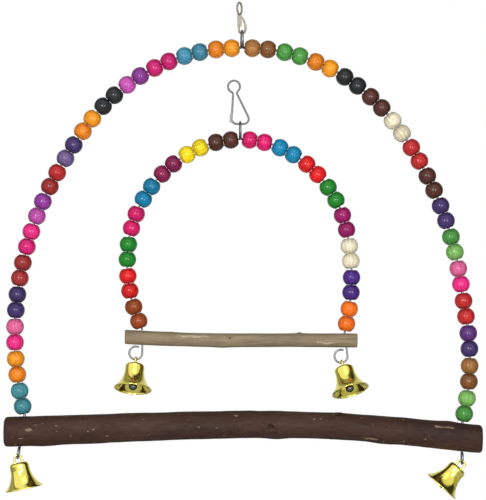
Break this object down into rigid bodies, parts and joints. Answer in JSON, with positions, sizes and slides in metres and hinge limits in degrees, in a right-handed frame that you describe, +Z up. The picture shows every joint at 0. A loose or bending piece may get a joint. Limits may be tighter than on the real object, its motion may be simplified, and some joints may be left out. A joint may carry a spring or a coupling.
{
  "type": "bird swing",
  "caption": "Beaded bird swing: a large wire arch of wooden beads standing in a branch perch, a smaller one inside it, with bells under the feet and hanging clips.",
  "frame": {"origin": "inside of the top of the large clip's eye, where the large swing hangs", "axes": "+X to the right along the perches, +Y to the back through the arches, +Z up"},
  "size_m": [0.2874, 0.0265, 0.2985],
  "materials": {
    "spring_wire": "drawn, bright",
    "clapper_metal": "satin",
    "bell_metal": "polished",
    "dark_branch": "natural branch with its bark stained dark",
    "grey_branch": "bare weathered wood",
    "bead_orange": "dyed and lacquered",
    "bead_blue": "dyed and lacquered",
    "bead_magenta": "dyed and lacquered",
    "bead_violet": "dyed and lacquered",
    "bead_black": "dyed and lacquered",
    "bead_indigo": "dyed and lacquered",
    "bead_red": "dyed and lacquered",
    "bead_brick": "dyed and lacquered",
    "bead_pink": "dyed and lacquered",
    "bead_teal": "dyed and lacquered",
    "bead_tan": "dyed and lacquered",
    "bead_green": "dyed and lacquered",
    "bead_brown": "dyed and lacquered",
    "bead_cream": "dyed and lacquered",
    "bead_yellow": "dyed and lacquered",
    "bead_maroon": "dyed and lacquered",
    "bead_russet": "dyed and lacquered"
  },
  "bodies": {
    "large_clip": {"large_clip": "spring_wire"},
    "large_swing": {"large_wire_arch": "spring_wire", "large_perch": "dark_branch"},
    "small_clip": {"small_clip": "spring_wire"},
    "small_swing": {"small_wire_arch": "spring_wire", "small_perch": "grey_branch"},
    "large_left_bell": {"large_left_bell": "bell_metal"},
    "large_right_bell": {"large_right_bell": "bell_metal"},
    "small_left_bell": {"small_left_bell": "bell_metal"},
    "small_right_bell": {"small_right_bell": "bell_metal"},
    "large_left_clapper": {"large_left_clapper": "clapper_metal"},
    "large_right_clapper": {"large_right_clapper": "clapper_metal"},
    "small_left_clapper": {"small_left_clapper": "clapper_metal"},
    "small_right_clapper": {"small_right_clapper": "clapper_metal"},
    "large_left_beads_01": {"large_left_beads_01": "bead_orange"},
    "large_left_beads_02": {"large_left_beads_02": "bead_blue"},
    "large_left_beads_03": {"large_left_beads_03": "bead_magenta"},
    "large_left_beads_04": {"large_left_beads_04": "bead_violet"},
    "large_left_beads_05": {"large_left_beads_05": "bead_black"},
    "large_left_beads_06": {"large_left_beads_06": "bead_orange"},
    "large_left_beads_07": {"large_left_beads_07": "bead_indigo"},
    "large_left_beads_08": {"large_left_beads_08": "bead_red"},
    "large_left_beads_09": {"large_left_beads_09": "bead_violet"},
    "large_left_beads_10": {"large_left_beads_10": "bead_magenta"},
    "large_left_beads_11": {"large_left_beads_11": "bead_brick"},
    "large_left_beads_12": {"large_left_beads_12": "bead_indigo"},
    "large_left_beads_13": {"large_left_beads_13": "bead_pink"},
    "large_left_beads_14": {"large_left_beads_14": "bead_orange"},
    "large_left_beads_15": {"large_left_beads_15": "bead_teal"},
    "large_right_beads_01": {"large_right_beads_01": "bead_tan"},
    "large_right_beads_02": {"large_right_beads_02": "bead_green"},
    "large_right_beads_03": {"large_right_beads_03": "bead_orange"},
    "large_right_beads_04": {"large_right_beads_04": "bead_black"},
    "large_right_beads_05": {"large_right_beads_05": "bead_brown"},
    "large_right_beads_06": {"large_right_beads_06": "bead_cream"},
    "large_right_beads_07": {"large_right_beads_07": "bead_red"},
    "large_right_beads_08": {"large_right_beads_08": "bead_brown"},
    "large_right_beads_09": {"large_right_beads_09": "bead_indigo"},
    "large_right_beads_10": {"large_right_beads_10": "bead_green"},
    "large_right_beads_11": {"large_right_beads_11": "bead_magenta"},
    "large_right_beads_12": {"large_right_beads_12": "bead_red"},
    "large_right_beads_13": {"large_right_beads_13": "bead_violet"},
    "large_right_beads_14": {"large_right_beads_14": "bead_tan"},
    "large_right_beads_15": {"large_right_beads_15": "bead_green"},
    "small_left_beads_01": {"small_left_beads_01": "bead_brown"},
    "small_left_beads_02": {"small_left_beads_02": "bead_yellow"},
    "small_left_beads_03": {"small_left_beads_03": "bead_maroon"},
    "small_left_beads_04": {"small_left_beads_04": "bead_blue"},
    "small_left_beads_05": {"small_left_beads_05": "bead_magenta"},
    "small_left_beads_06": {"small_left_beads_06": "bead_green"},
    "small_left_beads_07": {"small_left_beads_07": "bead_red"},
    "small_left_beads_08": {"small_left_beads_08": "bead_russet"},
    "small_right_beads_01": {"small_right_beads_01": "bead_magenta"},
    "small_right_beads_02": {"small_right_beads_02": "bead_blue"},
    "small_right_beads_03": {"small_right_beads_03": "bead_red"},
    "small_right_beads_04": {"small_right_beads_04": "bead_green"},
    "small_right_beads_05": {"small_right_beads_05": "bead_violet"},
    "small_right_beads_06": {"small_right_beads_06": "bead_cream"},
    "small_right_beads_07": {"small_right_beads_07": "bead_indigo"},
    "small_right_beads_08": {"small_right_beads_08": "bead_orange"}
  },
  "joints": [
    {"name": "large_swing_hinge", "type": "hinge", "parent": "large_clip", "child": "large_swing", "pos_m": [0.0015, 0, -0.018], "axis": [1, 0, 0], "range_deg": [-60, 60]},
    {"name": "small_set_lift", "type": "slide", "parent": "large_clip", "child": "small_clip", "axis": [0, -1, 0], "range_m": [0, 0.15]},
    {"name": "small_swing_hinge", "type": "hinge", "parent": "small_clip", "child": "small_swing", "pos_m": [0.00043, 0, -0.0722], "axis": [1, 0, 0], "range_deg": [-60, 60]},
    {"name": "large_left_bell_hinge", "type": "hinge", "parent": "large_swing", "child": "large_left_bell", "pos_m": [-0.13291, -0.003, -0.2724], "axis": [0, 1, 0], "range_deg": [-58, 82]},
    {"name": "large_right_bell_hinge", "type": "hinge", "parent": "large_swing", "child": "large_right_bell", "pos_m": [0.13329, -0.003, -0.27569], "axis": [0, 1, 0], "range_deg": [-112, 28]},
    {"name": "small_left_bell_hinge", "type": "hinge", "parent": "small_swing", "child": "small_left_bell", "pos_m": [-0.06225, 0, -0.21351], "axis": [1, 0, 0], "range_deg": [-51, 89]},
    {"name": "small_right_bell_hinge", "type": "hinge", "parent": "small_swing", "child": "small_right_bell", "pos_m": [0.06143, 0, -0.21544], "axis": [0.9903, 0, 0.1392], "range_deg": [-49, 91]},
    {"name": "large_left_clapper_hinge", "type": "hinge", "parent": "large_left_bell", "child": "large_left_clapper", "pos_m": [-0.13175, -0.003, -0.27788], "axis": [0.9781, 0, 0.2079], "range_deg": [-24, 24]},
    {"name": "large_right_clapper_hinge", "type": "hinge", "parent": "large_right_bell", "child": "large_right_clapper", "pos_m": [0.12954, -0.003, -0.27985], "axis": [0.7431, 0, -0.6691], "range_deg": [-24, 24]},
    {"name": "small_left_clapper_hinge", "type": "hinge", "parent": "small_left_bell", "child": "small_left_clapper", "pos_m": [-0.06273, -0.00182, -0.21879], "axis": [0, -0.9455, 0.3256], "range_deg": [-24, 24]},
    {"name": "small_right_clapper_hinge", "type": "hinge", "parent": "small_right_bell", "child": "small_right_clapper", "pos_m": [0.06292, -0.00199, -0.22046], "axis": [-0.0499, -0.9336, 0.3549], "range_deg": [-24, 24]},
    {"name": "large_left_beads_01_spin", "type": "hinge", "parent": "large_swing", "child": "large_left_beads_01", "pos_m": [-0.0094, 0, -0.02711], "axis": [-0.9969, 0, -0.0784], "continuous": true},
    {"name": "large_left_beads_02_spin", "type": "hinge", "parent": "large_swing", "child": "large_left_beads_02", "pos_m": [-0.02843, 0, -0.03028], "axis": [-0.9686, 0, -0.2485], "continuous": true},
    {"name": "large_left_beads_03_spin", "type": "hinge", "parent": "large_swing", "child": "large_left_beads_03", "pos_m": [-0.04664, 0, -0.03667], "axis": [-0.9115, 0, -0.4113], "continuous": true},
    {"name": "large_left_beads_04_spin", "type": "hinge", "parent": "large_swing", "child": "large_left_beads_04", "pos_m": [-0.06347, 0, -0.04609], "axis": [-0.8272, 0, -0.5619], "continuous": true},
    {"name": "large_left_beads_05_spin", "type": "hinge", "parent": "large_swing", "child": "large_left_beads_05", "pos_m": [-0.07843, 0, -0.05826], "axis": [-0.7183, 0, -0.6957], "continuous": true},
    {"name": "large_left_beads_06_spin", "type": "hinge", "parent": "large_swing", "child": "large_left_beads_06", "pos_m": [-0.09114, 0, -0.07279], "axis": [-0.5991, 0, -0.8007], "continuous": true},
    {"name": "large_left_beads_07_spin", "type": "hinge", "parent": "large_swing", "child": "large_left_beads_07", "pos_m": [-0.10195, 0, -0.08882], "axis": [-0.5251, 0, -0.8511], "continuous": true},
    {"name": "large_left_beads_08_spin", "type": "hinge", "parent": "large_swing", "child": "large_left_beads_08", "pos_m": [-0.11159, 0, -0.10559], "axis": [-0.4665, 0, -0.8845], "continuous": true},
    {"name": "large_left_beads_09_spin", "type": "hinge", "parent": "large_swing", "child": "large_left_beads_09", "pos_m": [-0.11978, 0, -0.1231], "axis": [-0.3788, 0, -0.9255], "continuous": true},
    {"name": "large_left_beads_10_spin", "type": "hinge", "parent": "large_swing", "child": "large_left_beads_10", "pos_m": [-0.12623, 0, -0.14133], "axis": [-0.2877, 0, -0.9577], "continuous": true},
    {"name": "large_left_beads_11_spin", "type": "hinge", "parent": "large_swing", "child": "large_left_beads_11", "pos_m": [-0.13088, 0, -0.16009], "axis": [-0.1938, 0, -0.981], "continuous": true},
    {"name": "large_left_beads_12_spin", "type": "hinge", "parent": "large_swing", "child": "large_left_beads_12", "pos_m": [-0.13371, 0, -0.17921], "axis": [-0.0981, 0, -0.9952], "continuous": true},
    {"name": "large_left_beads_13_spin", "type": "hinge", "parent": "large_swing", "child": "large_left_beads_13", "pos_m": [-0.13467, 0, -0.19852], "axis": [-0.0015, 0, -1], "continuous": true},
    {"name": "large_left_beads_14_spin", "type": "hinge", "parent": "large_swing", "child": "large_left_beads_14", "pos_m": [-0.13377, 0, -0.21783], "axis": [0.0951, 0, -0.9955], "continuous": true},
    {"name": "large_left_beads_15_spin", "type": "hinge", "parent": "large_swing", "child": "large_left_beads_15", "pos_m": [-0.131, 0, -0.23696], "axis": [0.1908, 0, -0.9816], "continuous": true},
    {"name": "large_right_beads_01_spin", "type": "hinge", "parent": "large_swing", "child": "large_right_beads_01", "pos_m": [0.0124, 0, -0.02712], "axis": [0.9969, 0, -0.0791], "continuous": true},
    {"name": "large_right_beads_02_spin", "type": "hinge", "parent": "large_swing", "child": "large_right_beads_02", "pos_m": [0.03167, 0, -0.03037], "axis": [0.9675, 0, -0.2529], "continuous": true},
    {"name": "large_right_beads_03_spin", "type": "hinge", "parent": "large_swing", "child": "large_right_beads_03", "pos_m": [0.05006, 0, -0.03696], "axis": [0.908, 0, -0.4189], "continuous": true},
    {"name": "large_right_beads_04_spin", "type": "hinge", "parent": "large_swing", "child": "large_right_beads_04", "pos_m": [0.06701, 0, -0.04668], "axis": [0.8203, 0, -0.5719], "continuous": true},
    {"name": "large_right_beads_05_spin", "type": "hinge", "parent": "large_swing", "child": "large_right_beads_05", "pos_m": [0.082, 0, -0.05922], "axis": [0.7071, 0, -0.7071], "continuous": true},
    {"name": "large_right_beads_06_spin", "type": "hinge", "parent": "large_swing", "child": "large_right_beads_06", "pos_m": [0.09467, 0, -0.07411], "axis": [0.5932, 0, -0.8051], "continuous": true},
    {"name": "large_right_beads_07_spin", "type": "hinge", "parent": "large_swing", "child": "large_right_beads_07", "pos_m": [0.10551, 0, -0.09042], "axis": [0.5126, 0, -0.8586], "continuous": true},
    {"name": "large_right_beads_08_spin", "type": "hinge", "parent": "large_swing", "child": "large_right_beads_08", "pos_m": [0.11473, 0, -0.1077], "axis": [0.4283, 0, -0.9037], "continuous": true},
    {"name": "large_right_beads_09_spin", "type": "hinge", "parent": "large_swing", "child": "large_right_beads_09", "pos_m": [0.12226, 0, -0.12577], "axis": [0.34, 0, -0.9404], "continuous": true},
    {"name": "large_right_beads_10_spin", "type": "hinge", "parent": "large_swing", "child": "large_right_beads_10", "pos_m": [0.12803, 0, -0.14449], "axis": [0.2487, 0, -0.9686], "continuous": true},
    {"name": "large_right_beads_11_spin", "type": "hinge", "parent": "large_swing", "child": "large_right_beads_11", "pos_m": [0.13205, 0, -0.16366], "axis": [0.1671, 0, -0.9859], "continuous": true},
    {"name": "large_right_beads_12_spin", "type": "hinge", "parent": "large_swing", "child": "large_right_beads_12", "pos_m": [0.13516, 0, -0.18301], "axis": [0.1556, 0, -0.9878], "continuous": true},
    {"name": "large_right_beads_13_spin", "type": "hinge", "parent": "large_swing", "child": "large_right_beads_13", "pos_m": [0.13759, 0, -0.20244], "axis": [0.0765, 0, -0.9971], "continuous": true},
    {"name": "large_right_beads_14_spin", "type": "hinge", "parent": "large_swing", "child": "large_right_beads_14", "pos_m": [0.13785, 0, -0.22201], "axis": [-0.0498, 0, -0.9988], "continuous": true},
    {"name": "large_right_beads_15_spin", "type": "hinge", "parent": "large_swing", "child": "large_right_beads_15", "pos_m": [0.13564, 0, -0.24145], "axis": [-0.1754, 0, -0.9845], "continuous": true},
    {"name": "small_left_beads_01_spin", "type": "hinge", "parent": "small_swing", "child": "small_left_beads_01", "pos_m": [-0.0097, 0, -0.08255], "axis": [-0.987, 0, -0.1609], "continuous": true},
    {"name": "small_left_beads_02_spin", "type": "hinge", "parent": "small_swing", "child": "small_left_beads_02", "pos_m": [-0.02749, 0, -0.08853], "axis": [-0.8899, 0, -0.4562], "continuous": true},
    {"name": "small_left_beads_03_spin", "type": "hinge", "parent": "small_swing", "child": "small_left_beads_03", "pos_m": [-0.04299, 0, -0.09922], "axis": [-0.743, 0, -0.6693], "continuous": true},
    {"name": "small_left_beads_04_spin", "type": "hinge", "parent": "small_swing", "child": "small_left_beads_04", "pos_m": [-0.05523, 0, -0.11352], "axis": [-0.5463, 0, -0.8376], "continuous": true},
    {"name": "small_left_beads_05_spin", "type": "hinge", "parent": "small_swing", "child": "small_left_beads_05", "pos_m": [-0.06338, 0, -0.13049], "axis": [-0.313, 0, -0.9498], "continuous": true},
    {"name": "small_left_beads_06_spin", "type": "hinge", "parent": "small_swing", "child": "small_left_beads_06", "pos_m": [-0.06696, 0, -0.14898], "axis": [-0.0702, 0, -0.9975], "continuous": true},
    {"name": "small_left_beads_07_spin", "type": "hinge", "parent": "small_swing", "child": "small_left_beads_07", "pos_m": [-0.06638, 0, -0.16785], "axis": [0.1319, 0, -0.9913], "continuous": true},
    {"name": "small_left_beads_08_spin", "type": "hinge", "parent": "small_swing", "child": "small_left_beads_08", "pos_m": [-0.06196, 0, -0.18619], "axis": [0.334, 0, -0.9426], "continuous": true},
    {"name": "small_right_beads_01_spin", "type": "hinge", "parent": "small_swing", "child": "small_right_beads_01", "pos_m": [0.01055, 0, -0.08255], "axis": [0.987, 0, -0.1609], "continuous": true},
    {"name": "small_right_beads_02_spin", "type": "hinge", "parent": "small_swing", "child": "small_right_beads_02", "pos_m": [0.02832, 0, -0.08857], "axis": [0.887, 0, -0.4618], "continuous": true},
    {"name": "small_right_beads_03_spin", "type": "hinge", "parent": "small_swing", "child": "small_right_beads_03", "pos_m": [0.04367, 0, -0.09945], "axis": [0.7299, 0, -0.6836], "continuous": true},
    {"name": "small_right_beads_04_spin", "type": "hinge", "parent": "small_swing", "child": "small_right_beads_04", "pos_m": [0.05553, 0, -0.11405], "axis": [0.5188, 0, -0.8549], "continuous": true},
    {"name": "small_right_beads_05_spin", "type": "hinge", "parent": "small_swing", "child": "small_right_beads_05", "pos_m": [0.06301, 0, -0.13131], "axis": [0.2695, 0, -0.963], "continuous": true},
    {"name": "small_right_beads_06_spin", "type": "hinge", "parent": "small_swing", "child": "small_right_beads_06", "pos_m": [0.06636, 0, -0.14991], "axis": [0.105, 0, -0.9945], "continuous": true},
    {"name": "small_right_beads_07_spin", "type": "hinge", "parent": "small_swing", "child": "small_right_beads_07", "pos_m": [0.06706, 0, -0.16881], "axis": [-0.0345, 0, -0.9994], "continuous": true},
    {"name": "small_right_beads_08_spin", "type": "hinge", "parent": "small_swing", "child": "small_right_beads_08", "pos_m": [0.06503, 0, -0.18761], "axis": [-0.1793, 0, -0.9838], "continuous": true}
  ]
}
